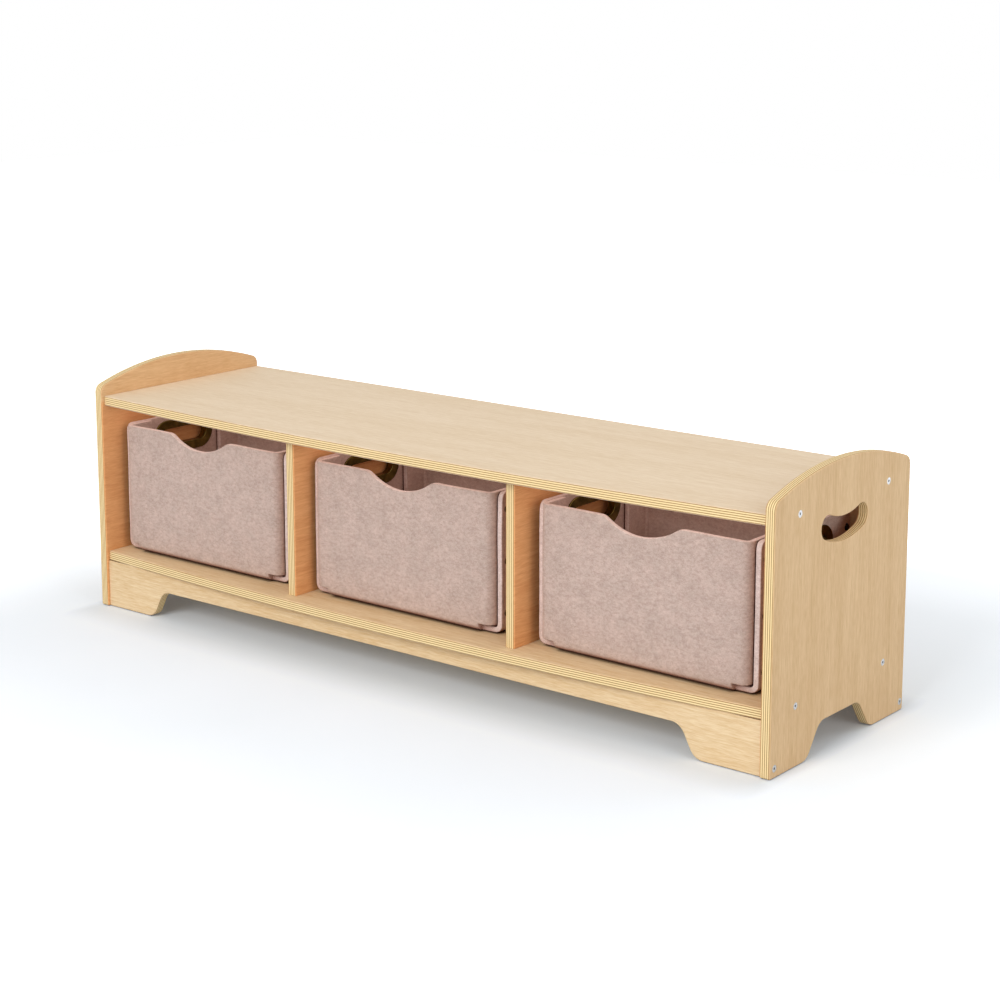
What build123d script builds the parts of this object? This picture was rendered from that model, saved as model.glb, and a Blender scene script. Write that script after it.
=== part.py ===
# Low storage bench for children: plywood carcass with a bowed front, three loose felt bins.
# Millimetres. The origin is on the floor under the middle of the bench, the front faces -Y.
import os
from math import sqrt

from build123d import *

os.makedirs("parts", exist_ok=True)

# Carcass sizes
bench_width = 1220
panel_depth = 340
panel_thickness = 15
seat_thickness = 15
shelf_thickness = 15
divider_thickness = 15
kick_thickness = 15
seat_height = 334
shelf_height = 88
edge_round = 2

# Bowed front of the seat and the shelf: the ends sit back, the middle swells out
board_setback = 6
front_swell = 26
kick_setback = 4
divider_setback = 4

# Arched end panel
arch_rise = 44.5
arch_radius = 505
arch_corner = 14
toe_corner = 3
slot_width = 32
slot_radius = 115
slot_half_angle = 21.5
slot_below_seat = 47

# Feet: what is left of each board's lower edge beside its cut-out
foot_height = 43
foot_corner = 22
panel_foot = 90
panel_foot_flare = 30.5
kick_foot = 99
kick_foot_flare = 22

# Thin back panel in grooves, and the housings of the dividers
back_thickness = 6
back_inset = 9
groove_depth = 6
housing_depth = 5
housing_stop = 12
glue_gap = 0.1

# Countersunk end screws
screw_spread = 223
kick_screw_height = 12.5
screw_length = 50
shank_radius = 2.5
head_radius = 4.75
head_rim = 0.6
head_sink = 0.2
screw_socket_radius = 1.9
screw_socket_depth = 2.2
screw_fit = 0.05

# Folded felt bins
felt = 8
bin_side_room = 20.8
bin_back_room = 50
bin_head_room = 31.7
bin_setback = 29
left_bin_shift = -12
middle_bin_shift = -14.5
right_bin_shift = -8
bin_clearance = 0.3
fold_radius = 12
side_inset = 12
side_corner = 10
flap_length = 50
flap_gap = 1.2
relief_height = 12
relief_length = 33
relief_slit = 2.5
scoop_radius = 95
scoop_depth = 20.5
scoop_shoulder = 18

# Oval hand-hole grommets of the bins
grommet_length = 126
grommet_height = 54
grommet_flange = 14
grommet_lip = 2
grommet_tube = 1.5
grommet_drop = 35
grommet_edge = 0.9
grommet_fit = 0.1

# Rivets that hold the folded flaps to the side walls
rivet_inset = 23
rivet_foot = 29.5
rivet_head = 23.5
rivet_cap_radius = 5
rivet_cap_height = 1.6
rivet_bevel = 1
rivet_back_radius = 4
rivet_back_height = 1.2
rivet_shank_radius = 2
rivet_seat = 0.4
rivet_fit = 0.05

# Places that follow from the sizes
overhang = front_swell - board_setback
panel_front = -(panel_depth + overhang) / 2 + overhang
panel_back = panel_front + panel_depth
panel_middle = (panel_front + panel_back) / 2
inner_half = bench_width / 2 - panel_thickness
board_half = inner_half - glue_gap
seat_underside = seat_height - seat_thickness
shelf_underside = shelf_height - shelf_thickness
seat_middle = seat_height - seat_thickness / 2
shelf_middle = shelf_height - shelf_thickness / 2
kick_top = shelf_underside - glue_gap
kick_front = panel_front + kick_setback
kick_depth_middle = kick_front + kick_thickness / 2
rear_kick_front = panel_back - kick_thickness
rear_kick_middle = panel_back - kick_thickness / 2
board_front_end = panel_front + board_setback
board_front_middle = panel_front - overhang
back_rear = panel_back - back_inset
back_front = back_rear - back_thickness
groove_width = back_thickness + 2 * glue_gap
groove_middle = (back_rear + back_front) / 2
divider_front = panel_front + divider_setback
divider_back = back_front - glue_gap
bay_width = (2 * inner_half - 2 * divider_thickness) / 3
divider_middle = (bay_width + divider_thickness) / 2
bay_middle = bay_width + divider_thickness
bin_front = panel_front + bin_setback
bin_back = back_front - bin_back_room
bin_depth = bin_back - bin_front
bin_width = bay_width - 2 * bin_side_room
bin_bottom = shelf_height + bin_clearance
bin_height = seat_underside - bin_head_room - bin_bottom
bin_places = (
    ("left", left_bin_shift - bay_middle),
    ("middle", middle_bin_shift),
    ("right", right_bin_shift + bay_middle),
)
side_names = (("left", -1), ("right", 1))

# Each end of a board takes two screws in its middle plane, each kick board one
screw_places = [
    (panel_middle - screw_spread / 2, seat_middle),
    (panel_middle + screw_spread / 2, seat_middle),
    (panel_middle - screw_spread / 2, shelf_middle),
    (panel_middle + screw_spread / 2, shelf_middle),
    (kick_depth_middle, kick_screw_height),
    (rear_kick_middle, kick_screw_height),
]


def end_plane(sign):
    """Outer face of one end panel, seen from outside, with its origin at the middle of the floor line."""
    return Plane((sign * bench_width / 2, panel_middle, 0), x_dir=(0, sign, 0), z_dir=(sign, 0, 0))


def front_plane(x, y, z=0):
    """Upright plane that faces the front."""
    return Plane((x, y, z), x_dir=(1, 0, 0), z_dir=(0, -1, 0))


def on_end(sign, places):
    """Places on an end panel's outer face from their depth and height on the bench."""
    return [(sign * (y - panel_middle), z) for y, z in places]


# End panels: arched top, foot cut-out and a smile-shaped hand slot
panel_half = panel_depth / 2
arch_top = seat_height + arch_rise
arch_spring = arch_top - arch_radius + sqrt(arch_radius**2 - panel_half**2)
slot_low = seat_height - slot_below_seat
slot_centre = slot_low + slot_radius
slot_line = CenterArc((0, slot_centre), slot_radius, 270 - slot_half_angle, 2 * slot_half_angle)

for side, sign in side_names:
    with BuildPart() as end_panel:
        with BuildSketch(end_plane(sign)) as outline:
            with BuildLine():
                Polyline(
                    (-panel_half, arch_spring),
                    (-panel_half, 0),
                    (-panel_half + panel_foot, 0),
                    (-panel_half + panel_foot + panel_foot_flare, foot_height),
                    (panel_half - panel_foot - panel_foot_flare, foot_height),
                    (panel_half - panel_foot, 0),
                    (panel_half, 0),
                    (panel_half, arch_spring),
                )
                ThreePointArc((panel_half, arch_spring), (0, arch_top), (-panel_half, arch_spring))
            make_face()
            fillet(outline.vertices().filter_by(lambda v: abs(v.Y - arch_spring) < edge_round), arch_corner)
            fillet(
                outline.vertices().filter_by(
                    lambda v: v.Y < foot_height + edge_round and abs(v.X) < panel_half - edge_round
                ),
                foot_corner,
            )
            fillet(
                outline.vertices().filter_by(
                    lambda v: v.Y < edge_round and abs(v.X) > panel_half - edge_round
                ),
                toe_corner,
            )
            SlotArc(slot_line, slot_width, mode=Mode.SUBTRACT)
        extrude(amount=-panel_thickness)
        fillet(end_panel.faces().filter_by(Axis.X).edges(), edge_round)
        # Groove for the back panel in the inner face
        with BuildSketch(end_plane(sign).offset(-panel_thickness)):
            with Locations((sign * (groove_middle - panel_middle), shelf_height - groove_depth)):
                Rectangle(
                    groove_width,
                    seat_underside - shelf_height + 2 * groove_depth,
                    align=(Align.CENTER, Align.MIN),
                )
        extrude(amount=groove_depth, mode=Mode.SUBTRACT)
        with BuildSketch(end_plane(sign)):
            with Locations(*on_end(sign, screw_places)):
                Circle(shank_radius + screw_fit)
        extrude(amount=-panel_thickness, mode=Mode.SUBTRACT)
        with BuildSketch(end_plane(sign)):
            with Locations(*on_end(sign, screw_places)):
                Circle(head_radius + screw_fit)
        extrude(amount=-(head_sink + head_rim), mode=Mode.SUBTRACT)
        with BuildSketch(end_plane(sign).offset(-(head_sink + head_rim))):
            with Locations(*on_end(sign, screw_places)):
                Circle(head_radius + screw_fit)
        extrude(amount=-(head_radius - shank_radius), taper=45, mode=Mode.SUBTRACT)
    end_panel.part.label = f"{side}_end_panel"
    export_step(end_panel.part, f"parts/{side}_end_panel.step")

    # Screws: flat head with a socket, cone under it, plain shank
    with BuildPart() as end_screws:
        with BuildSketch(end_plane(sign).offset(-head_sink)):
            with Locations(*on_end(sign, screw_places)):
                Circle(head_radius)
        extrude(amount=-head_rim)
        with BuildSketch(end_plane(sign).offset(-(head_sink + head_rim))):
            with Locations(*on_end(sign, screw_places)):
                Circle(head_radius)
        extrude(amount=-(head_radius - shank_radius), taper=45)
        with BuildSketch(end_plane(sign).offset(-(head_sink + head_rim))):
            with Locations(*on_end(sign, screw_places)):
                Circle(shank_radius)
        extrude(amount=-(screw_length - head_sink - head_rim))
        with BuildSketch(end_plane(sign).offset(-head_sink)):
            with Locations(*on_end(sign, screw_places)):
                RegularPolygon(screw_socket_radius, 6)
        extrude(amount=-screw_socket_depth, mode=Mode.SUBTRACT)
    end_screws.part.label = f"{side}_end_screws"
    export_step(end_screws.part, f"parts/{side}_end_screws.step")

# Seat board and bottom shelf: the same bowed outline, with housings and a groove in the faces that meet
pilot_depth = screw_length - panel_thickness
divider_places = (-divider_middle, divider_middle)
housing_front = divider_front + housing_stop - glue_gap
housing_width = divider_thickness + 2 * glue_gap

for board_name, board_low, board_thickness, inner_face, inward, board_screws in (
    ("seat_board", seat_underside, seat_thickness, seat_underside, 1, screw_places[0:2]),
    ("bottom_shelf", shelf_underside, shelf_thickness, shelf_height, -1, screw_places[2:4]),
):
    with BuildPart() as board:
        with BuildSketch(Plane.XY.offset(board_low)):
            with BuildLine():
                Polyline(
                    (board_half, board_front_end),
                    (board_half, panel_back),
                    (-board_half, panel_back),
                    (-board_half, board_front_end),
                )
                ThreePointArc(
                    (-board_half, board_front_end), (0, board_front_middle), (board_half, board_front_end)
                )
            make_face()
        extrude(amount=board_thickness)
        rims = board.faces().filter_by(Axis.Z).edges()
        fillet(rims.filter_by(lambda e: abs(e.center().X) < edge_round), edge_round)
        with BuildSketch(Plane.XY.offset(inner_face)):
            with Locations(*[(x, housing_front) for x in divider_places]):
                Rectangle(housing_width, back_front - housing_front, align=(Align.CENTER, Align.MIN))
        extrude(amount=inward * housing_depth, mode=Mode.SUBTRACT)
        with BuildSketch(Plane.XY.offset(inner_face)):
            with Locations((0, groove_middle)):
                Rectangle(2 * board_half, groove_width)
        extrude(amount=inward * groove_depth, mode=Mode.SUBTRACT)
        for side, sign in side_names:
            with BuildSketch(end_plane(sign).offset(-panel_thickness)):
                with Locations(*on_end(sign, board_screws)):
                    Circle(shank_radius + screw_fit)
            extrude(amount=-pilot_depth - glue_gap, mode=Mode.SUBTRACT)
    board.part.label = board_name
    export_step(board.part, f"parts/{board_name}.step")

# Dividers: tongues above and below go into the housings and stop short of the front edge
tongue = housing_depth - glue_gap
tongue_front = divider_front + housing_stop
divider_low = shelf_height + glue_gap
divider_high = seat_underside - glue_gap

for side, sign in side_names:
    with BuildPart() as divider:
        with BuildSketch(Plane.YZ.offset(sign * divider_middle)):
            with BuildLine():
                Polyline(
                    (divider_front, divider_low),
                    (tongue_front, divider_low),
                    (tongue_front, shelf_height - tongue),
                    (divider_back, shelf_height - tongue),
                    (divider_back, seat_underside + tongue),
                    (tongue_front, seat_underside + tongue),
                    (tongue_front, divider_high),
                    (divider_front, divider_high),
                    close=True,
                )
            make_face()
        extrude(amount=divider_thickness / 2, both=True)
        fillet(divider.faces().sort_by(Axis.Y)[0].edges().filter_by(Axis.Z), edge_round)
    divider.part.label = f"{side}_divider"
    export_step(divider.part, f"parts/{side}_divider.step")

# Kick boards under the shelf, cut away between their feet
for place, face_y, screw_place in (
    ("front", kick_front, screw_places[4]),
    ("rear", rear_kick_front, screw_places[5]),
):
    with BuildPart() as kick_board:
        with BuildSketch(front_plane(0, face_y)):
            with BuildLine():
                Polyline(
                    (-board_half, 0),
                    (-inner_half + kick_foot, 0),
                    (-inner_half + kick_foot + kick_foot_flare, foot_height),
                    (inner_half - kick_foot - kick_foot_flare, foot_height),
                    (inner_half - kick_foot, 0),
                    (board_half, 0),
                    (board_half, kick_top),
                    (-board_half, kick_top),
                    close=True,
                )
            kick_face = make_face()
            fillet(
                kick_face.vertices().filter_by(lambda v: abs(v.X) < board_half - edge_round), foot_corner
            )
        extrude(amount=-kick_thickness)
        kick_rims = kick_board.faces().filter_by(Axis.Y).edges()
        fillet(
            kick_rims.filter_by(
                lambda e: e.center().Z < foot_height + edge_round
                and abs(e.center().X) < board_half - edge_round
            ),
            edge_round,
        )
        for side, sign in side_names:
            with BuildSketch(end_plane(sign).offset(-panel_thickness)):
                with Locations(*on_end(sign, [screw_place])):
                    Circle(shank_radius + screw_fit)
            extrude(amount=-pilot_depth - glue_gap, mode=Mode.SUBTRACT)
    kick_board.part.label = f"{place}_kick_board"
    export_step(kick_board.part, f"parts/{place}_kick_board.step")

# Back panel, held in the grooves on all four sides
back_lap = groove_depth - glue_gap

with BuildPart() as back_panel:
    with BuildSketch(front_plane(0, back_front, shelf_height - back_lap)):
        Rectangle(
            2 * (inner_half + back_lap),
            seat_underside - shelf_height + 2 * back_lap,
            align=(Align.CENTER, Align.MIN),
        )
    extrude(amount=-back_thickness)
back_panel.part.label = "back_panel"
export_step(back_panel.part, "parts/back_panel.step")

# Felt bins: one blank each, folded up, with the front and back flaps tucked inside the sides
side_depth = bin_depth - 2 * side_inset
flap_half = bin_width / 2 - felt - flap_gap
fold_half = bin_width / 2 - relief_length
relief_depth = side_inset + relief_slit
scoop_reach = scoop_radius + scoop_shoulder
shoulder_x = sqrt(scoop_reach**2 - (scoop_reach - scoop_depth) ** 2)
shoulder_share = scoop_radius / scoop_reach
scoop_middle_z = scoop_radius - scoop_depth
scoop_edge = (
    shoulder_x * shoulder_share,
    scoop_middle_z - (scoop_reach - scoop_depth) * shoulder_share,
)
tube_length = grommet_length - 2 * grommet_flange + 2 * grommet_tube
tube_height = grommet_height - 2 * grommet_flange + 2 * grommet_tube
grommet_y = (bin_front + bin_back) / 2
grommet_z = bin_bottom + bin_height - grommet_drop
rivet_stack = 2 * felt + flap_gap + rivet_seat
rivet_low = bin_bottom + rivet_foot
rivet_high = bin_bottom + bin_height - rivet_head
rivet_places = [
    (y, z)
    for y in (bin_front + rivet_inset, bin_back - rivet_inset)
    for z in (rivet_low, (rivet_low + rivet_high) / 2, rivet_high)
]

for bin_name, bin_x in bin_places:
    with BuildPart() as bin_felt:
        # Floor and side walls: a band with rounded folds at its two lower corners
        with BuildSketch(front_plane(bin_x, bin_front + side_inset, bin_bottom)):
            band = Rectangle(bin_width, bin_height, align=(Align.CENTER, Align.MIN))
            fillet(band.vertices().group_by(Axis.Y)[0], fold_radius)
            with BuildSketch(mode=Mode.SUBTRACT):
                with Locations((0, felt)):
                    hollow = Rectangle(bin_width - 2 * felt, bin_height, align=(Align.CENTER, Align.MIN))
                fillet(hollow.vertices().group_by(Axis.Y)[0], fold_radius - felt)
        extrude(amount=-side_depth)
        side_tops = bin_felt.faces().filter_by(Axis.Z).group_by(Axis.Z)[-1].edges().filter_by(Axis.X)
        fillet(side_tops, side_corner)
        # The floor is cut back where the front and the back fold up from it
        with BuildSketch(Plane.XY.offset(bin_bottom)):
            for y in (bin_front, bin_back - relief_depth):
                with Locations((bin_x, y)):
                    Rectangle(2 * (fold_half + relief_slit), relief_depth, align=(Align.CENTER, Align.MIN))
        extrude(amount=felt, mode=Mode.SUBTRACT)
        for wall_y, inward in ((bin_front, 1), (bin_back, -1)):
            # Rounded fold between the floor and the wall
            with BuildSketch(Plane((bin_x, wall_y, bin_bottom), x_dir=(0, inward, 0), z_dir=(inward, 0, 0))):
                fold = Rectangle(2 * fold_radius, 2 * fold_radius, align=(Align.MIN, Align.MIN))
                fillet(fold.vertices().sort_by_distance((0, 0))[0], fold_radius)
                with BuildSketch(mode=Mode.SUBTRACT):
                    with Locations((felt, felt)):
                        crease = Rectangle(2 * fold_radius, 2 * fold_radius, align=(Align.MIN, Align.MIN))
                    fillet(crease.vertices().sort_by_distance((0, 0))[0], fold_radius - felt)
            extrude(amount=fold_half, both=True)
            # Wall with its two flaps, clear of the floor at the corners
            with BuildSketch(Plane((bin_x, wall_y, bin_bottom + relief_height), x_dir=(inward, 0, 0))):
                wall = Rectangle(2 * flap_half, flap_length, align=(Align.CENTER, Align.MIN))
                fillet(wall.vertices().group_by(Axis.Y)[0], fold_radius)
                with BuildSketch(mode=Mode.SUBTRACT):
                    with Locations((0, felt)):
                        inside = Rectangle(
                            2 * (flap_half - felt), flap_length, align=(Align.CENTER, Align.MIN)
                        )
                    fillet(inside.vertices().group_by(Axis.Y)[0], fold_radius - felt)
            extrude(amount=bin_height - relief_height)
        # Finger scoop in the front wall's top edge
        with BuildSketch(front_plane(bin_x, bin_front, bin_bottom + bin_height)):
            with BuildLine():
                TangentArc((-shoulder_x, 0), (-scoop_edge[0], scoop_edge[1]), tangent=(1, 0))
                ThreePointArc((-scoop_edge[0], scoop_edge[1]), (0, -scoop_depth), scoop_edge)
                TangentArc((shoulder_x, 0), scoop_edge, tangent=(-1, 0))
                Polyline((shoulder_x, 0), (shoulder_x, felt), (-shoulder_x, felt), (-shoulder_x, 0))
            make_face()
        extrude(amount=-felt, mode=Mode.SUBTRACT)
        # Holes for the grommets and the rivets, through both sides
        for side, sign in side_names:
            wall_plane = Plane((bin_x + sign * bin_width / 2, 0, 0), x_dir=(0, sign, 0), z_dir=(sign, 0, 0))
            with BuildSketch(wall_plane):
                with Locations((sign * grommet_y, grommet_z)):
                    SlotOverall(tube_length + 2 * grommet_fit, tube_height + 2 * grommet_fit)
            extrude(amount=-felt, mode=Mode.SUBTRACT)
            with BuildSketch(wall_plane):
                with Locations(*[(sign * y, z) for y, z in rivet_places]):
                    Circle(rivet_shank_radius + rivet_fit)
            extrude(amount=-rivet_stack, mode=Mode.SUBTRACT)
    bin_felt.part.label = f"{bin_name}_bin_felt"
    export_step(bin_felt.part, f"parts/{bin_name}_bin_felt.step")

    # Grommets: a flange on each face of the felt, joined by a short tube
    for side, sign in side_names:
        outer_x = bin_x + sign * bin_width / 2
        grommet_plane = Plane((outer_x, grommet_y, grommet_z), x_dir=(0, sign, 0), z_dir=(sign, 0, 0))
        with BuildPart() as grommet:
            for face_offset in (grommet_fit, -(felt + grommet_lip + grommet_fit)):
                with BuildSketch(grommet_plane.offset(face_offset)):
                    SlotOverall(grommet_length, grommet_height)
                extrude(amount=grommet_lip)
            with BuildSketch(grommet_plane.offset(grommet_fit)):
                SlotOverall(tube_length, tube_height)
            extrude(amount=-(felt + 2 * grommet_fit))
            with BuildSketch(grommet_plane.offset(grommet_fit + grommet_lip)):
                SlotOverall(grommet_length - 2 * grommet_flange, grommet_height - 2 * grommet_flange)
            extrude(amount=-(felt + 2 * grommet_fit + 2 * grommet_lip), mode=Mode.SUBTRACT)
            show_faces = grommet.faces().filter_by(Axis.X).sort_by(Axis.X)
            fillet(show_faces[0].edges() + show_faces[-1].edges(), grommet_edge)
        grommet.part.label = f"{bin_name}_bin_{side}_grommet"
        export_step(grommet.part, f"parts/{bin_name}_bin_{side}_grommet.step")

    # Rivets: bevelled cap outside, shank through both layers, smaller cap inside
    with BuildPart() as bin_rivets:
        for side, sign in side_names:
            wall_plane = Plane((bin_x + sign * bin_width / 2, 0, 0), x_dir=(0, sign, 0), z_dir=(sign, 0, 0))
            spots = [(sign * y, z) for y, z in rivet_places]
            with BuildSketch(wall_plane):
                with Locations(*spots):
                    Circle(rivet_cap_radius)
            extrude(amount=rivet_cap_height)
            with BuildSketch(wall_plane):
                with Locations(*spots):
                    Circle(rivet_shank_radius)
            extrude(amount=-rivet_stack)
            with BuildSketch(wall_plane.offset(-rivet_stack)):
                with Locations(*spots):
                    Circle(rivet_back_radius)
            extrude(amount=-rivet_back_height)
        cap_faces = bin_rivets.faces().filter_by(Axis.X).group_by(Axis.X)
        chamfer(cap_faces[0].edges() + cap_faces[-1].edges(), rivet_bevel)
    bin_rivets.part.label = f"{bin_name}_bin_rivets"
    export_step(bin_rivets.part, f"parts/{bin_name}_bin_rivets.step")
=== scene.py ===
# %% [markdown]
# A children's storage bench in pale plywood, with three thick felt bins that slide out of it.
# The boards, screws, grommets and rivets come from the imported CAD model. This lesson gives them
# their finish, folds the felt bins from flat blanks, and sets up a plain studio around the bench.

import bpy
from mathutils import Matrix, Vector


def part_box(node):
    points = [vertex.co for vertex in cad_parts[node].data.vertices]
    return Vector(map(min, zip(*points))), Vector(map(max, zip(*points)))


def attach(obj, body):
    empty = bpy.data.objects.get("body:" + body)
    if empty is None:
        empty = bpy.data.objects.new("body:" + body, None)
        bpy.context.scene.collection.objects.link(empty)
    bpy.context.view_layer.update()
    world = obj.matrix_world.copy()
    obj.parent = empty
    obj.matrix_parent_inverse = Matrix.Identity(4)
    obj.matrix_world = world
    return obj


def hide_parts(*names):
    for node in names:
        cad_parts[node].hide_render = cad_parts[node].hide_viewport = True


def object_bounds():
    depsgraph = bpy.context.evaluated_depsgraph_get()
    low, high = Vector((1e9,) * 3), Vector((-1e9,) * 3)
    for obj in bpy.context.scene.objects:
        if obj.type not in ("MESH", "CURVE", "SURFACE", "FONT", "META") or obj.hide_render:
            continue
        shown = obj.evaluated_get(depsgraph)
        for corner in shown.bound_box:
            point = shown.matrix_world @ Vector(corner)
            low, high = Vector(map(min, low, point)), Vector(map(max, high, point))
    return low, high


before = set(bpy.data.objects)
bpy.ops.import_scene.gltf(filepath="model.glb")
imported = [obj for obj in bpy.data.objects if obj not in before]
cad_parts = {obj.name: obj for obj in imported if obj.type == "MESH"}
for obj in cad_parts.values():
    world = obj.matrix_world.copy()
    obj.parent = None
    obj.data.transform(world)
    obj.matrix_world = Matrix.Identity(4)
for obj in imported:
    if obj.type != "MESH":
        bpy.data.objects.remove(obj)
cad_low, cad_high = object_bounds()

# %% [markdown]
# Blender's own modules come next: bpy holds the scene, bmesh edits meshes, and mathutils has
# vectors and noise. Blender's usual view softens bright colours as film does, and pale wood would
# turn grey in it. The plain Standard view is set instead, so colours come out as written.

# %% Blender's modules
from math import copysign, cos, pi, radians, sin, sqrt

import bmesh
import bpy
from mathutils import Vector, noise

scene = bpy.context.scene
scene.view_settings.view_transform = "Standard"
print("Blender", bpy.app.version_string, "with", scene.view_settings.view_transform, "colours")

# %% [markdown]
# The photograph was taken from the right and above, with a long lens, so the bench's far end is
# hardly smaller than its near end. A camera could be aimed with a constraint, but plain angles are
# easier to read: a turn about the upright axis and a tilt down. A small shift lowers the frame, as
# a view camera does, to keep uprights upright.

# %% Camera
camera_place = (1.936, -2.363, 0.984)
camera_turn, camera_tilt = 38.44, 10.71
camera_lens, sensor_width = 78.73, 36
frame_shift = -0.12
far_limit = 50

camera_data = bpy.data.cameras.new("studio_camera")
camera_data.lens = camera_lens
camera_data.sensor_width = sensor_width
camera_data.shift_y = frame_shift
camera_data.clip_end = far_limit
camera = bpy.data.objects.new("studio_camera", camera_data)
camera.location = camera_place
camera.rotation_euler = (radians(90 - camera_tilt), 0, radians(camera_turn))
scene.collection.objects.link(camera)
scene.camera = camera
print("camera stands", round(Vector(camera_place).length, 2), "m from the bench")

# %% [markdown]
# Every finish here is a node tree. Nodes could be added one by one in the editor, or line by line
# in a script. A few helpers keep the trees short instead: these start a material, feed a socket,
# add a node with its inputs, and turn a colour that was picked on a screen into the linear light
# that nodes work in.


# %% Colours and nodes
def screen(red, green, blue):
    """A colour as a paint program shows it, 0 to 255, turned into linear light."""
    shares = [c / 255 for c in (red, green, blue)]
    light = [c / 12.92 if c <= 0.04045 else ((c + 0.055) / 1.055) ** 2.4 for c in shares]
    return (*light, 1.0)


def new_finish(name):
    """An empty material with its surface shader. Returns the material, its tree and the shader."""
    material = bpy.data.materials.new(name)
    material.use_nodes = True
    shader = material.node_tree.nodes["Principled BSDF"]
    return material, material.node_tree, shader


def feed(tree, socket, value):
    """Gives an input socket a plain value, or links another node's output to it."""
    if isinstance(value, bpy.types.NodeSocket):
        tree.links.new(value, socket)
    else:
        socket.default_value = value


def add(tree, kind, settings=None, **inputs):
    """Adds a shader node with its settings, and feeds its inputs by their names."""
    made = tree.nodes.new("ShaderNode" + kind)
    for key, value in (settings or {}).items():
        setattr(made, key, value)
    for key, value in inputs.items():
        feed(tree, made.inputs[key.replace("_", " ")], value)
    return made


white = screen(255, 255, 255)
print("mid grey on a screen is", round(screen(128, 128, 128)[0], 3), "of white as light")

# %% [markdown]
# Most finishes mix colours by a noise. Each step could be a node written out in full, but the same
# few come again and again. These helpers do one step each: arithmetic, a mix, a colour ramp, and
# spreading a narrow range of values over 0 to 1.


# %% Arithmetic and mixing
def calc(tree, operation, first, second=0.0):
    """One step of arithmetic on sockets or numbers."""
    made = add(tree, "Math", {"operation": operation})
    feed(tree, made.inputs[0], first)
    feed(tree, made.inputs[1], second)
    return made.outputs[0]


def blend_colours(tree, share, first, second, way="MIX"):
    """Mixes two colours: share 0 gives the first, 1 the second. They go in at sockets 6 and 7."""
    made = add(tree, "Mix", {"data_type": "RGBA", "blend_type": way})
    for number, value in ((0, share), (6, first), (7, second)):
        feed(tree, made.inputs[number], value)
    return made.outputs[2]


def ramp(tree, value, stops):
    """A colour ramp from (place, colour) stops."""
    made = add(tree, "ValToRGB", Fac=value)
    for _ in stops[2:]:
        made.color_ramp.elements.new(0.5)
    for element, (place, colour) in zip(made.color_ramp.elements, stops):
        element.position = place
        element.color = colour
    return made.outputs["Color"]


def stretch(tree, low, high, value):
    """Spreads a socket's range from low to high over 0 to 1."""
    made = add(tree, "MapRange", Value=value, From_Min=low, From_Max=high)
    return made.outputs["Result"]


print("mixing helpers:", [helper.__name__ for helper in (calc, blend_colours, ramp, stretch)])

# %% [markdown]
# Where two surfaces almost touch, little light arrives. The lamps alone leave such lines too pale,
# and lines painted in place would not follow a bin that slides. So shade is painted into the
# colour: an ambient occlusion node measures how much of the space within reach is open, and darkens
# seams and folds wherever they are.

# %% Painted crease shade
crease_samples = 8


def painted_crease_shade(tree, colour, reach, dark, openness):
    """Painted shade: multiplies a colour by dark in closed spaces, and by white in open ones."""
    samples = {"samples": crease_samples}
    nearby = add(tree, "AmbientOcclusion", samples, Distance=reach).outputs["AO"]
    closed, opened = openness
    shade = ramp(tree, nearby, [(closed, dark), (opened, white)])
    return blend_colours(tree, 1.0, colour, shade, "MULTIPLY")


print("the space around is probed in", crease_samples, "directions")

# %% [markdown]
# Plywood is a stack of thin veneers. Painting stripes on the edges would need every edge to be
# found and unwrapped. Instead the finish is solid, like the real board: the colour at a point
# depends on how deep it lies in the stack. Faces then show the outer veneer, and every cut edge,
# rounded corner and slot shows the plies by itself. The veneer comes first: its grain is noise
# drawn out along the board, in three sizes.

# %% Face veneer
AXES = {"X": 0, "Y": 1, "Z": 2}
deep_tone, pale_tone = 0.36, 0.62
# Spots per metre along and across the grain, their detail, and their weight in the tone.
grain_layers = {
    "bands": (2.2, 34, 3.0, 0.24),
    "fibres": (17, 320, 4.0, 0.36),
    "flecks": (60, 800, 2.0, 0.40),
}


def grain_noise(tree, place, grain, along, across, detail):
    """Noise drawn out along the grain: along and across are spots per metre."""
    spots = [across, across, across]
    spots[AXES[grain]] = along
    drawn = add(tree, "Mapping", Vector=place, Scale=spots).outputs["Vector"]
    made = add(tree, "TexNoise", Vector=drawn, Scale=1.0, Detail=detail, Roughness=0.6)
    return made.outputs["Fac"]


def face_grain(tree, place, grain):
    """Adds up the layers of grain. Gives their sum, and the fibres alone for the lacquer."""
    tone, layers = 0.0, {}
    for name, (along, across, detail, weight) in grain_layers.items():
        layers[name] = grain_noise(tree, place, grain, along, across, detail)
        tone = calc(tree, "ADD", tone, calc(tree, "MULTIPLY", layers[name], weight))
    return tone, layers["fibres"]


def face_veneer(tree, tone, shades):
    """The veneer's colour, from deep lines to pale wood between them."""
    pale, deep = shades
    return ramp(tree, tone, [(deep_tone, deep), (pale_tone, pale)])


print("layers of grain:", ", ".join(grain_layers))

# %% [markdown]
# A cut edge shows the plies as fine stripes, pale where the wood runs along the edge and darker
# where it ends there. A wave texture would not know the board's thickness. A cosine of the depth
# gives as many plies as the real board has, and a little noise keeps them from looking printed.

# %% Edge plies
dark_plies = 5
wobble_spots, wobble_amount = 38.0, 0.03
pore_spots, pore_amount = 900.0, 0.5
ply_stops = [(0.06, screen(164, 124, 76)), (0.34, screen(215, 182, 129)),
             (0.60, screen(240, 217, 166))]


def unevenness(tree, place, spots, amount):
    """Noise about zero: spots per metre, and how far it swings."""
    clouds = add(tree, "TexNoise", Vector=place, Scale=spots, Detail=2.0).outputs["Fac"]
    return calc(tree, "MULTIPLY", calc(tree, "SUBTRACT", clouds, 0.5), amount)


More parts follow.
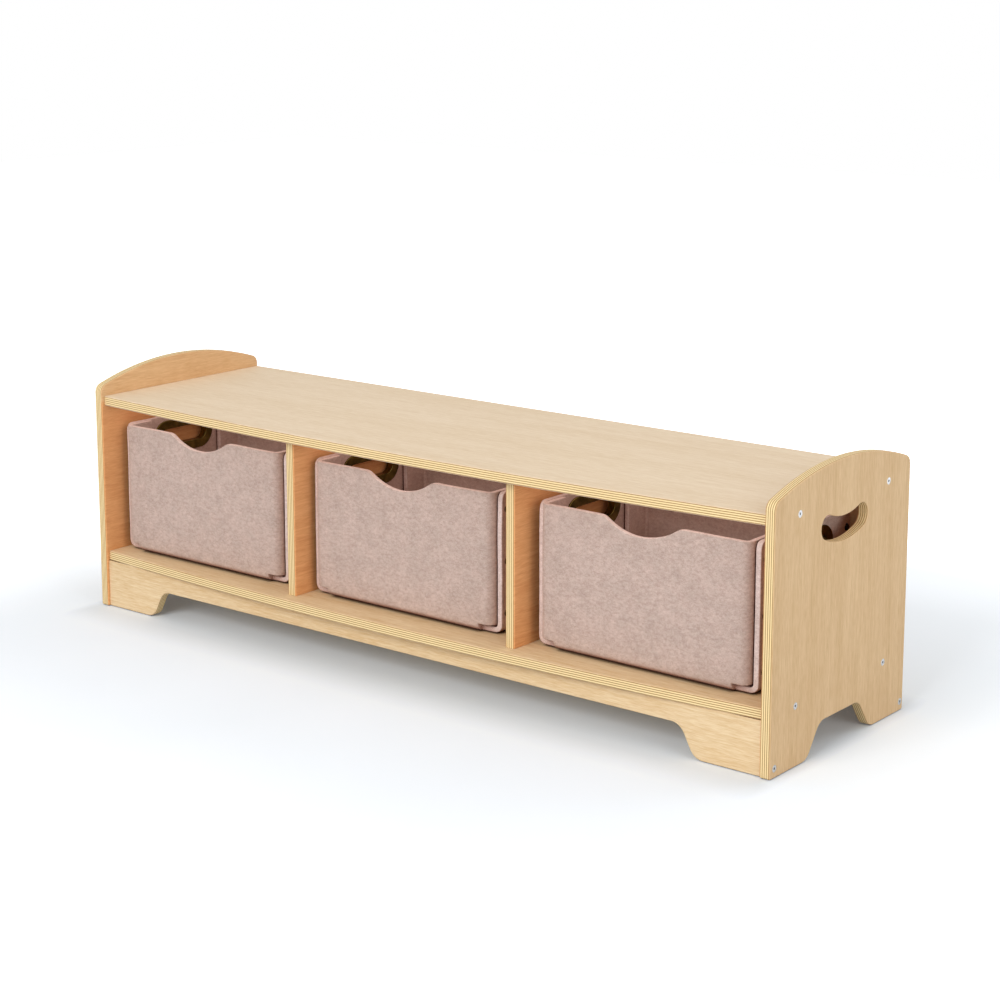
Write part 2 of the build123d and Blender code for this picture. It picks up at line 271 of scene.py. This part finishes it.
def edge_plies(tree, place, depth):
    """Thin, darker cross plies between pale ones, a little uneven, with open pores."""
    layer = calc(tree, "ADD", depth, unevenness(tree, place, wobble_spots, wobble_amount))
    wave = calc(tree, "COSINE", calc(tree, "MULTIPLY", layer, 2 * pi * dark_plies))
    wave = calc(tree, "ADD", wave, unevenness(tree, place, pore_spots, pore_amount))
    return ramp(tree, stretch(tree, -1.0, 1.0, wave), ply_stops)


print("plies at an edge:", 2 * dark_plies + 1)

# %% [markdown]
# The faces that look into the bays are a warmer honey colour, with grain from front to back: partly
# a warmer veneer, partly painted shade of the deep bays. On an end panel that face goes on above
# the seat, where it stands in the light, so there the painted shade mostly gives way to the paler
# veneer. A second material could be cut in at the seat, but it would show a hard line. Here the
# height mixes the two colours.

# %% Veneer and painted shade in the bays
honey_and_bay_shade = screen(239, 180, 123), screen(217, 149, 93)
shade_share_above_seat, shade_fade_height = 0.3, 0.01
seat_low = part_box("seat_board")[0].z


def bay_veneer_and_shade(tree, place, height, shades):
    """The inner face of an end panel, honey with painted shade below the seat. Gives its colour and
    its fibres.
    """
    tone, fibres = face_grain(tree, place, "Y")
    # Painted shade: full honey below the seat, only a small share of it above.
    kept = add(tree, "MapRange", Value=height, From_Min=seat_low, From_Max=seat_low + shade_fade_height,
               To_Min=1.0, To_Max=shade_share_above_seat).outputs["Result"]
    honey = face_veneer(tree, tone, honey_and_bay_shade)
    return blend_colours(tree, kept, face_veneer(tree, tone, shades), honey), fibres


print("honey veneer is kept below", round(seat_low, 3), "m")

# %% [markdown]
# The boards have a thin satin lacquer. A clear coat would lay a second, sharper reflection over
# the wood, too glossy for satin. So the wood's own roughness is set instead: it follows the
# fibres, and a faint bump lets them catch the light.

# %% Lacquer
smooth_lacquer, rough_lacquer = 0.52, 0.66
lacquer_specular = 0.22
fibre_strength, fibre_height = 0.08, 0.0006


def lacquer(tree, shader, fibres):
    """A satin coat whose roughness and relief follow the fibres."""
    gloss = add(tree, "MapRange", Value=fibres, To_Min=smooth_lacquer, To_Max=rough_lacquer)
    tree.links.new(gloss.outputs["Result"], shader.inputs["Roughness"])
    shader.inputs["Specular IOR Level"].default_value = lacquer_specular
    bump = add(tree, "Bump", Height=fibres, Strength=fibre_strength, Distance=fibre_height)
    tree.links.new(bump.outputs["Normal"], shader.inputs["Normal"])


print("lacquer roughness:", smooth_lacquer, "to", rough_lacquer)

# %% [markdown]
# Now the whole board. Separate materials for faces and edges would have to be given to every face
# by hand. One finish decides by depth in the stack instead: near either face it is veneer, deeper
# down it is plies, and where boards meet, or a bin stands close, painted brown shade darkens both.

# %% Plywood finish
veneer_share, veneer_blur = 0.075, 0.15
seam_shade_reach = {"X": 0.004, "Y": 0.004, "Z": 0.006}
painted_seam_shade, seam_openness = screen(104, 44, 12), (0.05, 0.58)


def plywood(name, node, axis, grain, shades, bay_side=0):
    """A board of plies stacked along axis, with face veneers whose grain runs along another axis.

    bay_side is +1 or -1 for an end panel: its face on that side looks into a bay.
    """
    material, tree, shader = new_finish(name)
    low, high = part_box(node)
    place = add(tree, "TexCoord").outputs["Object"]
    parts = add(tree, "SeparateXYZ", Vector=place).outputs
    depth = stretch(tree, low[AXES[axis]], high[AXES[axis]], parts[axis])
    tone, fibres = face_grain(tree, place, grain)
    face = face_veneer(tree, tone, shades)
    if bay_side:
        in_bay = calc(tree, "GREATER_THAN" if bay_side > 0 else "LESS_THAN", depth, 0.5)
        bay_face, bay_fibres = bay_veneer_and_shade(tree, place, parts["Z"], shades)
        face = blend_colours(tree, in_bay, face, bay_face)
        fibres = add(tree, "Mix", Factor=in_bay, A=fibres, B=bay_fibres).outputs["Result"]
    off_middle = calc(tree, "ABSOLUTE", calc(tree, "SUBTRACT", depth, 0.5))
    rim = calc(tree, "SUBTRACT", 0.5, off_middle)
    inside = stretch(tree, veneer_share * (1 - veneer_blur), veneer_share * (1 + veneer_blur), rim)
    colour = blend_colours(tree, inside, face, edge_plies(tree, place, depth))
    # Painted shade: brown lines where boards meet or a bin lies close.
    seams = painted_crease_shade(tree, colour, seam_shade_reach[axis], painted_seam_shade, seam_openness)
    tree.links.new(seams, shader.inputs["Base Color"])
    lacquer(tree, shader, fibres)
    return material


def dress(node, material):
    """Gives a CAD node its finish. The node's mesh stays as it is."""
    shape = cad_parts[node].data
    shape.materials.clear()
    shape.materials.append(material)


print("veneer on each face:", 100 * veneer_share, "% of the board")

# %% [markdown]
# The veneers are not all alike. Seat and shelf are creamy with grain along the bench, and the end
# panels are a little browner with upright grain. One finish for all would be simpler, but the
# plies have to follow each board's own thickness, so each board gets its own. The table gives the
# axis through the plies, the axis of the grain, the shades, and the side that looks into a bay.

# %% Boards
seat_shades = screen(236, 216, 189), screen(219, 193, 158)
kick_shades = screen(234, 209, 170), screen(210, 174, 125)
panel_shades = screen(226, 194, 151), screen(203, 166, 120)

boards = [
    ("seat_board", "seat_plywood", "Z", "X", seat_shades, 0),
    ("bottom_shelf", "shelf_plywood", "Z", "X", kick_shades, 0),
    ("front_kick_board", "front_kick_plywood", "Y", "X", kick_shades, 0),
    ("rear_kick_board", "rear_kick_plywood", "Y", "X", kick_shades, 0),
    ("back_panel", "back_plywood", "Y", "X", panel_shades, 0),
    # The dividers are honey all over: a warmer veneer, and painted shade of the bays.
    ("left_divider", "left_divider_plywood", "X", "Y", honey_and_bay_shade, 0),
    ("right_divider", "right_divider_plywood", "X", "Y", honey_and_bay_shade, 0),
    ("right_end_panel", "right_panel_plywood", "X", "Z", panel_shades, -1),
    ("left_end_panel", "left_panel_plywood", "X", "Z", panel_shades, 1),
]
for node, name, axis, grain, shades, bay_side in boards:
    dress(node, plywood(name, node, axis, grain, shades, bay_side))
print("boards dressed in plywood:", sum("plywood" in m.name for m in bpy.data.materials))

# %% [markdown]
# Each bin is one piece of stiff felt, eight millimetres thick: a floor, four walls, and flaps on
# the front and back walls that tuck inside the side walls. A box with a bevel would miss the
# folds. Here the flat blank is laid out as a grid and bent, so each fold is a true arc of the
# felt's middle layer, and the thickness is added afterwards. All sizes are in metres.

# %% Sizes of the felt blank
felt = 0.008
fold_radius = 0.012
bend_radius = fold_radius - felt / 2
bend_length = bend_radius * pi / 2
flap_length = 0.050
flap_gap = 0.0012
relief_length = 0.033
side_inset = fold_radius
side_corner = 0.010
hole_length, hole_height, hole_drop = 0.110, 0.038, 0.035
scoop_radius, scoop_depth, scoop_shoulder = 0.095, 0.0205, 0.018
scoop_reach = scoop_radius + scoop_shoulder
shoulder_end = sqrt(scoop_reach**2 - (scoop_reach - scoop_depth) ** 2)
shoulder_start = shoulder_end * scoop_radius / scoop_reach
print("finger scoop:", round(2000 * shoulder_end), "mm wide and", 1000 * scoop_depth, "mm deep")

# %% [markdown]
# A grid is set out as runs of places, closer together where the felt bends. Blender's loop cuts do
# that by hand. Here each run is a list of distances from the middle of the bin outwards.


# %% Runs of places
def steps(start, end, count):
    """Evenly spaced places from start to end, both included."""
    return [start + (end - start) * i / count for i in range(count + 1)]


def chain(*runs):
    """Joins runs of places that share their end points."""
    joined = list(runs[0])
    for run in runs[1:]:
        joined += run[1:]
    return joined


def mirrored(run):
    """A run of places from the middle outwards, on both sides of the middle."""
    return [-place for place in reversed(run[1:])] + run


print("a run on both sides of the middle:", mirrored(steps(0, 1, 2)))

# %% [markdown]
# A fold turns a straight length of felt into an arc. A bend modifier could do it for a whole
# object, but the blank has many folds, so each point is bent by its own distance along the felt.
# The finger scoop is worked out the same way: how far the top edge dips at each place.


# %% Folds and the finger scoop
def bent(run, flat):
    """Bends a distance along the felt: flat, then a quarter turn, then up. Gives reach and rise."""
    over = run - flat
    if over <= 0:
        return run, 0.0
    if over < bend_length:
        angle = over / bend_radius
        return flat + bend_radius * sin(angle), bend_radius * (1 - cos(angle))
    return flat + bend_radius, bend_radius + over - bend_length


def scoop_drop(x):
    """How far the front wall's top edge dips at x: a wide arc between two rounded shoulders."""
    x = abs(x)
    if x >= shoulder_end:
        return 0.0
    if x > shoulder_start:
        return sqrt(scoop_shoulder**2 - (shoulder_end - x) ** 2) - scoop_shoulder
    return scoop_radius - scoop_depth - sqrt(scoop_radius**2 - x**2)


print("one fold takes", round(1000 * bend_length, 1), "mm of felt")

# %% [markdown]
# The band is the floor and the two side walls, with an oval hole in each side. It ends where the
# front and the back fold up from the floor, and its upper corners are rounded. The holes could be
# cut with a boolean, but leaving out the faces there is enough: the grommets cover the rims.

# %% Floor and sides
scoop_steps, shoulder_steps, edge_steps, relief_steps = 9, 4, 11, 3
depth_steps, corner_steps = 14, 4
fold_steps, wall_steps, flap_steps = 6, 26, 4


def sheet(mesh, rows, columns, place, keep=lambda row, column: True):
    """Adds a grid of faces: place turns a row and a column into a point."""
    points = [[mesh.verts.new(place(row, column)) for column in columns] for row in rows]
    for i in range(len(rows) - 1):
        for j in range(len(columns) - 1):
            if keep((rows[i] + rows[i + 1]) / 2, (columns[j] + columns[j + 1]) / 2):
                mesh.faces.new((points[i][j], points[i][j + 1],
                                points[i + 1][j + 1], points[i + 1][j]))


def fold_run(width):
    """Places across the floor, as far as the fold to the front or back wall reaches."""
    fold_half = width / 2 - relief_length
    return chain(steps(0, shoulder_start, scoop_steps),
                 steps(shoulder_start, shoulder_end, shoulder_steps),
                 steps(shoulder_end, fold_half, edge_steps))


def lay_band(mesh, width, depth, height):
    """The floor with a side wall bent up at each end of it."""
    flat, reach = width / 2 - fold_radius, depth / 2 - side_inset
    wall = height - fold_radius

    def place(y, u):
        across, rise = bent(abs(u), flat)
        if rise > bend_radius:
            past = max(0.0, abs(y) - (reach - side_corner))
            top = wall - side_corner + sqrt(side_corner**2 - past**2)
            rise = bend_radius + (rise - bend_radius) * top / wall
        return Vector((copysign(across, u), y, felt / 2 + rise))

    def clear_of_hole(y, u):
        above = bent(abs(u), flat)[1] + felt / 2 - (height - hole_drop)
        beyond = max(0.0, abs(y) - (hole_length - hole_height) / 2)
        return Vector((beyond, above)).length > hole_height / 2

    corner, wall_start = reach - side_corner, flat + bend_length
    rows = mirrored(chain(steps(0, corner, depth_steps), steps(corner, reach, corner_steps)))
    run = chain(fold_run(width), steps(width / 2 - relief_length, flat, relief_steps),
                steps(flat, wall_start, fold_steps),
                steps(wall_start, wall_start + wall, wall_steps))
    sheet(mesh, rows, mirrored(run), place, clear_of_hole)


print("rows of faces in a fold:", fold_steps, "and up a wall:", wall_steps)

# %% [markdown]
# The front and back walls fold up from the floor between two relief slots. Above the slots they
# are wider, and turn the corner into flaps that lie inside the side walls. Modelled as one bent
# grid, the corner keeps the length that the real felt has. Only the front has a finger scoop.


# %% Front and back
def lay_wall(mesh, width, depth, height, sign):
    """One wall with its fold and flaps: sign -1 is the front, +1 the back."""
    flat = depth / 2 - fold_radius
    flap_flat = width / 2 - felt - flap_gap - fold_radius

    def on_fold(v, u):
        reach, rise = bent(v, flat)
        return Vector((u, sign * reach, felt / 2 + rise))

    def on_wall(share, u):
        along, inward = bent(abs(u), flap_flat)
        drop = scoop_drop(u) if sign < 0 else 0.0
        rise = fold_radius + share * (height - fold_radius + drop)
        return Vector((copysign(along, u), sign * (flat + bend_radius - inward), rise))

    flap_start = flap_flat + bend_length
    run = chain(fold_run(width), [width / 2 - relief_length, flap_flat],
                steps(flap_flat, flap_start, fold_steps),
                steps(flap_start, flap_start + flap_length - fold_radius, flap_steps))
    sheet(mesh, steps(flat, flat + bend_length, fold_steps), mirrored(fold_run(width)), on_fold)
    sheet(mesh, steps(0, 1, wall_steps), mirrored(run), on_wall)


print("a flap reaches", round(1000 * flap_length), "mm into the bin")

# %% [markdown]
# The band and the two walls go into one mesh and are joined along their folds. New felt is never
# quite flat. A cloth simulation could give that, but it is slow and hard to steer, so a smooth
# noise moves the walls a little, and the floor sags so that the folded rim stands clear of the
# shelf. Blender seeds that noise from the clock, so a fixed seed keeps every run alike.

# %% Fold one bin
join_distance = 1e-5
soft_amount, soft_size, soft_rise = 0.0006, 0.055, 0.04
sag_amount, sag_height = 0.002, 3 * fold_radius
sag_start, sag_spread = 0.4, 0.5
noise_seed = 3
noise.seed_set(noise_seed)


def fold_blank(width, depth, height):
    """The felt's middle layer as a mesh, with its origin under the middle of the bin."""
    mesh = bmesh.new()
    lay_band(mesh, width, depth, height)
    lay_wall(mesh, width, depth, height, -1)
    lay_wall(mesh, width, depth, height, 1)
    bmesh.ops.remove_doubles(mesh, verts=mesh.verts, dist=join_distance)
    bmesh.ops.recalc_face_normals(mesh, faces=mesh.faces)
    return mesh


def soften(mesh, seed):
    """Moves the felt a little, smoothly, above the floor."""
    for vert in mesh.verts:
        lift = min(1.0, max(0.0, (vert.co.z - felt) / soft_rise))
        drift = noise.noise_vector(vert.co / soft_size + Vector((seed, 0, 0)))
        vert.co += drift * soft_amount * lift


def sag(mesh, width, depth):
    """Lifts the rim of the floor, least in the middle, as if the floor hung between its folds."""
    for vert in mesh.verts:
        rim = max(abs(vert.co.x) / (width / 2), abs(vert.co.y) / (depth / 2))
        low = max(0.0, 1 - vert.co.z / sag_height)
        vert.co.z += sag_amount * low * min(1.0, max(0.0, (rim - sag_start) / sag_spread))


print("walls wander by up to", 1000 * soft_amount, "mm, the floor sags by", 1000 * sag_amount, "mm")

# %% [markdown]
# The felt's thickness could be modelled as two skins. Three modifiers do it from the middle layer:
# Solidify adds the skins and the cut edge between them, Bevel rounds that edge, and Subdivision
# smooths the folds. The result is then kept as a plain mesh. The cut edge takes the second
# material of the bin.

# %% Thick felt
edge_rounding, edge_segments = 0.0016, 2
sharp_angle = 50
smooth_level = 1


def thicken(piece):
    """Adds the felt's thickness, rounds its cut edges and smooths it, as the piece's own mesh."""
    solid = piece.modifiers.new("thickness", "SOLIDIFY")
    solid.thickness = felt
    solid.offset = 0
    solid.use_even_offset = True
    solid.material_offset_rim = 1
    edge = piece.modifiers.new("cut_edges", "BEVEL")
    edge.width = edge_rounding
    edge.segments = edge_segments
    edge.limit_method = "ANGLE"
    edge.angle_limit = radians(sharp_angle)
    smooth = piece.modifiers.new("smooth", "SUBSURF")
    smooth.levels = smooth.render_levels = smooth_level
    bpy.context.view_layer.update()
    finished = piece.evaluated_get(bpy.context.evaluated_depsgraph_get())
    shape = bpy.data.meshes.new_from_object(finished)
    piece.modifiers.clear()
    piece.data = shape
    shape.polygons.foreach_set("use_smooth", [True] * len(shape.polygons))


print("felt is", 1000 * felt, "mm thick, its cut edges rounded by", 1000 * edge_rounding, "mm")

# %% [markdown]
# Felt has no weave: it is matted wool in slightly different shades. A photograph of felt would
# repeat across the walls, so patches, specks and single fibres are three sizes of noise on the
# bin's own coordinates, and a soft sheen stands for the fibre ends. Painted shade darkens the folds
# a little, and paints the narrow lines under the bin and between its layers nearly black.

# %% Felt finish
patch_spots, speck_spots, fibre_spots = 48.0, 300.0, 1300.0
patch_range, speck_squash = (0.34, 0.66), (0.6, 0.6, 1.0)
speck_weight, fibre_weight = 0.6, 0.4
nap_strength, nap_height = 0.35, 0.0012
heather_stops = [(0.38, screen(210, 200, 197)), (0.62, white)]
fold_reach, painted_fold_shade, fold_openness = 0.022, screen(172, 116, 98), (0.15, 0.64)
line_reach, painted_line_shade, line_openness = 0.011, screen(62, 16, 4), (0.10, 0.48)
felt_sheen = {"Sheen Weight": 0.15, "Sheen Roughness": 0.6, "Sheen Tint": screen(240, 196, 180)}
felt_surface = {"Roughness": 1.0, "Specular IOR Level": 0.1, **felt_sheen}


def set_surface(shader, values):
    """Sets plain numbers and colours on the shader's own sockets."""
    for socket, value in values.items():
        shader.inputs[socket].default_value = value


def felt_finish(name, grey, pink):
    """Heathered felt between a greyer and a pinker shade, with painted shade in its folds and gaps.
    """
    material, tree, shader = new_finish(name)
    place = add(tree, "TexCoord").outputs["Object"]
    drawn = add(tree, "Mapping", Vector=place, Scale=speck_squash).outputs["Vector"]
    patches = add(tree, "TexNoise", Vector=place, Scale=patch_spots, Detail=3.0, Roughness=0.6)
    specks = add(tree, "TexNoise", Vector=drawn, Scale=speck_spots, Detail=6.0, Roughness=0.8)
    fibres = add(tree, "TexNoise", Vector=place, Scale=fibre_spots, Detail=3.0, Distortion=1.5)
    wool = blend_colours(tree, stretch(tree, *patch_range, patches.outputs["Fac"]), grey, pink)
    tone = calc(tree, "ADD", calc(tree, "MULTIPLY", specks.outputs["Fac"], speck_weight),
                calc(tree, "MULTIPLY", fibres.outputs["Fac"], fibre_weight))
    colour = blend_colours(tree, 1.0, wool, ramp(tree, tone, heather_stops), "MULTIPLY")
    # Painted shade: reddish in the folds, nearly black in the gaps and under the bin.
    folds = painted_crease_shade(tree, colour, fold_reach, painted_fold_shade, fold_openness)
    lines = painted_crease_shade(tree, folds, line_reach, painted_line_shade, line_openness)
    tree.links.new(lines, shader.inputs["Base Color"])
    set_surface(shader, felt_surface)
    bump = add(tree, "Bump", Height=tone, Strength=nap_strength, Distance=nap_height)
    tree.links.new(bump.outputs["Normal"], shader.inputs["Normal"])
    return material


print("folds are shaded within", 1000 * fold_reach, "mm, gaps within", 1000 * line_reach, "mm")

# %% [markdown]
# Each bin is folded to the size of its solid in the CAD model and set in the same place. One mesh
# could serve all three, but then their soft walls would be alike. The cut edges are paler than the
# skins: partly because the knife opens the wool, partly as a painted highlight along the top edges.

# %% The three bins
bin_names = ("left", "middle", "right")
seed_step = 7.3
mauve_felt = felt_finish("mauve_felt", screen(201, 181, 170), screen(212, 190, 179))
# Paler cut edges: opened wool, and a painted highlight on the top edges.
cut_felt_and_highlight = felt_finish("cut_felt_and_highlight", screen(231, 214, 206), screen(240, 222, 215))
for number, bin_name in enumerate(bin_names):
    node = f"{bin_name}_bin_felt"
    low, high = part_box(node)
    middle, size = (low + high) / 2, high - low
    blank = fold_blank(size.x, size.y, size.z)
    soften(blank, number * seed_step)
    sag(blank, size.x, size.y)
    bmesh.ops.translate(blank, verts=blank.verts, vec=Vector((middle.x, middle.y, low.z)))
    shape = bpy.data.meshes.new(f"{bin_name}_felt_bin")
    blank.to_mesh(shape)
    blank.free()
    piece = bpy.data.objects.new(f"{bin_name}_felt_bin", shape)
    scene.collection.objects.link(piece)
    piece.data.materials.append(mauve_felt)
    piece.data.materials.append(cut_felt_and_highlight)
    thicken(piece)
    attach(piece, f"{bin_name}_bin")
    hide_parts(node)
    print(piece.name, [round(c, 3) for c in size], "faces:", len(piece.data.polygons))

# %% [markdown]
# The hand holes are edged with dark brass that has been aged, so it is brown-green in the hollows
# and brighter where hands rub it. The screws are bright nickel and the rivets satin black. Plain
# metal of one colour would look new and flat, so a cloudy noise moves both the colour and the
# roughness, and fine scratches are a bump.

# %% Metal finishes
dull_tone, rubbed_tone = 0.35, 0.7
dulling, polish = 0.08, 0.06
scratch_share, scratch_strength, scratch_depth = 14, 0.05, 0.0003


def metal(name, dark, bright, roughness, spots):
    """Metal with cloudy tarnish between two colours, and roughness that follows it."""
    material, tree, shader = new_finish(name)
    place = add(tree, "TexCoord").outputs["Object"]
    clouds = add(tree, "TexNoise", Vector=place, Scale=spots, Detail=4.0, Roughness=0.6)
    tarnish = clouds.outputs["Fac"]
    colour = ramp(tree, tarnish, [(dull_tone, dark), (rubbed_tone, bright)])
    tree.links.new(colour, shader.inputs["Base Color"])
    shader.inputs["Metallic"].default_value = 1.0
    gloss = add(tree, "MapRange", Value=tarnish,
                To_Min=roughness + dulling, To_Max=roughness - polish)
    tree.links.new(gloss.outputs["Result"], shader.inputs["Roughness"])
    scratches = add(tree, "TexNoise", Vector=place, Scale=spots * scratch_share, Detail=2.0)
    bump = add(tree, "Bump", Height=scratches.outputs["Fac"],
               Strength=scratch_strength, Distance=scratch_depth)
    tree.links.new(bump.outputs["Normal"], shader.inputs["Normal"])
    return material


metals = {
    "grommet": metal("aged_brass", screen(84, 76, 36), screen(134, 120, 66), 0.24, 70.0),
    "screws": metal("bright_nickel", screen(176, 178, 180), screen(218, 219, 219), 0.36, 400.0),
    "rivets": metal("black_rivet", screen(24, 22, 22), screen(44, 41, 40), 0.42, 300.0),
}
for word, finish in metals.items():
    nodes = [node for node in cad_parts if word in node]
    for node in nodes:
        dress(node, finish)
    print(finish.name, "on", len(nodes), "nodes")

# %% [markdown]
# The studio is white all round. A floor that is only lit by lamps fades to grey away from them. So
# where it is seen, the floor also glows by itself: hardly under the bench, a little in a pale pool
# around it, where the lower glow paints a soft shadow on top of the lamps' own, and fully far away.
# Light that falls on the bench is not changed by it.


# %% What is seen
def seen_directly(tree):
    """1 where the camera looks, also by way of metal or glass, and 0 for light that falls."""
    rays = add(tree, "LightPath").outputs
    seen = calc(tree, "MAXIMUM", rays["Is Camera Ray"], rays["Is Glossy Ray"])
    return calc(tree, "MAXIMUM", seen, rays["Is Transmission Ray"])


def vector_step(tree, operation, first, second=(0.0, 0.0, 0.0)):
    """One step of arithmetic on vectors. Gives all the node's outputs."""
    made = add(tree, "VectorMath", {"operation": operation})
    feed(tree, made.inputs[0], first)
    feed(tree, made.inputs[1], second)
    return made.outputs


print("studio helpers:", seen_directly.__name__, "and", vector_step.__name__)

# %% [markdown]
# The distance to the bench's outline on the floor sets the glow. A gradient texture would be round,
# and the bench is long, so the distance is measured from its edges. It counts for more beyond the
# ends, where the shade of the real bench stops sooner.

# %% Floor finish
shade_reach = 0.8
end_hurry = (3.0, 1.0, 1.0)
# Painted shadow: glow levels along the distance, low near the bench and full far away.
glow_levels = ((0, 0.07), (0.075, 0.22), (0.3, 0.25), (0.8, 0.36), (1, 1))
glow_stops = [(share, (level, level, level, 1.0)) for share, level in glow_levels]
cloud_spots = 3.0
floor_stops = [(0.3, screen(219, 225, 231)), (0.7, screen(223, 229, 235))]
floor_surface = {"Roughness": 0.9, "Specular IOR Level": 0.1, "Emission Color": white}


def floor_finish():
    """A matt white floor that glows more the farther it is from the bench."""
    material, tree, shader = new_finish("white_floor")
    place = add(tree, "TexCoord").outputs["Object"]
    clouds = add(tree, "TexNoise", Vector=place, Scale=cloud_spots).outputs["Fac"]
    tree.links.new(ramp(tree, clouds, floor_stops), shader.inputs["Base Color"])
    set_surface(shader, floor_surface)
    outline = (cad_high.x, cad_high.y, 0)
    beyond = vector_step(tree, "ABSOLUTE", place)["Vector"]
    beyond = vector_step(tree, "SUBTRACT", beyond, outline)["Vector"]
    beyond = vector_step(tree, "MAXIMUM", beyond)["Vector"]
    beyond = vector_step(tree, "MULTIPLY", beyond, end_hurry)["Vector"]
    away = vector_step(tree, "LENGTH", beyond)["Value"]
    glow = ramp(tree, stretch(tree, 0.0, shade_reach, away), glow_stops)
    seen_glow = calc(tree, "MULTIPLY", glow, seen_directly(tree))
    tree.links.new(seen_glow, shader.inputs["Emission Strength"])
    return material


print("shade fades out within", shade_reach, "m of the bench")

# %% [markdown]
# The floor itself is one large flat grid, a hair below the feet so that the two don't flicker where
# they touch. It is not attached to any part of the bench.

# %% Floor
floor_size, floor_drop = 14.0, 0.0005
floor_mesh = bpy.data.meshes.new("studio_floor")
floor_build = bmesh.new()
bmesh.ops.create_grid(floor_build, x_segments=2, y_segments=2, size=floor_size / 2)
floor_build.to_mesh(floor_mesh)
floor_build.free()
floor_mesh.materials.append(floor_finish())
studio_floor = bpy.data.objects.new("studio_floor", floor_mesh)
studio_floor.location = (0, 0, cad_low.z - floor_drop)
scene.collection.objects.link(studio_floor)
print("floor:", floor_size, "m square")

# %% [markdown]
# An even white world fills the shadows. A picture of a studio could light the bench too, but an
# even white is plainer. Seen directly or in a reflection it is full white, so the backdrop stays
# white while the light on the bench stays at a plain level.

# %% World
fill_level = 0.45
world = bpy.data.worlds.new("studio_world")
world.use_nodes = True
scene.world = world
sky = world.node_tree
seen_extra = calc(sky, "MULTIPLY", seen_directly(sky), 1.0 - fill_level)
background = sky.nodes["Background"]
background.inputs["Color"].default_value = white
sky.links.new(calc(sky, "ADD", fill_level, seen_extra), background.inputs["Strength"])
print("world fill:", fill_level)

# %% [markdown]
# The photograph has one broad light in front of the bench and soft light all round. Small lamps
# would throw hard shadows, so these are large rectangles: the main one in front, and weaker ones
# above, at the ends and behind.


# %% Lamps
def lamp(name, place, aim, width, height, power, colour=(1.0, 1.0, 1.0)):
    """A soft rectangular lamp that faces a point."""
    data = bpy.data.lights.new(name, "AREA")
    data.shape = "RECTANGLE"
    data.size, data.size_y = width, height
    data.energy = power
    data.color = colour
    made = bpy.data.objects.new(name, data)
    made.location = place
    made.rotation_euler = (Vector(aim) - Vector(place)).to_track_quat("-Z", "Y").to_euler()
    scene.collection.objects.link(made)
    return made


bench_middle = (0.0, 0.0, 0.2)
lamps = [
    lamp("front_lamp", (0.3, -4.3, 2.6), bench_middle, 2.6, 2.0, 137),
    lamp("top_lamp", (-0.6, -0.4, 2.9), bench_middle, 2.2, 2.2, 7),
    lamp("right_lamp", (3.4, -0.9, 1.2), bench_middle, 1.6, 1.6, 26),
    lamp("left_lamp", (-3.4, -0.6, 1.2), bench_middle, 1.6, 1.6, 10),
    lamp("back_lamp", (1.6, 3.0, 2.4), bench_middle, 2.6, 1.6, 36),
]
print("lamps:", {made.name: made.data.energy for made in lamps})

# %% [markdown]
# The bins are deep and the seat shades them. Pale boards around a real bench throw some light back
# into the bins; one weak warm lamp under the seat in each bay stands for it. It is as wide as the
# bin, so the felt's upper edges catch it too.

# %% Light in the bays
bay_power, bay_colour = 0.19, (1.0, 0.80, 0.75)
lamp_gap = 0.003
for bin_name in bin_names:
    low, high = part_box(f"{bin_name}_bin_felt")
    middle, size = (low + high) / 2, high - low
    under_seat = Vector((middle.x, middle.y, seat_low - lamp_gap))
    bay_lamp = lamp(f"{bin_name}_bay_lamp", under_seat, middle, size.x, size.y,
                    bay_power, bay_colour)
    bay_lamp.visible_camera = False
print("light in each bay:", bay_power, "W")

# %% [markdown]
# Last, the CAD box is written out.

# %% Size of the CAD box
print("CAD box:", [round(c, 4) for c in cad_high - cad_low])
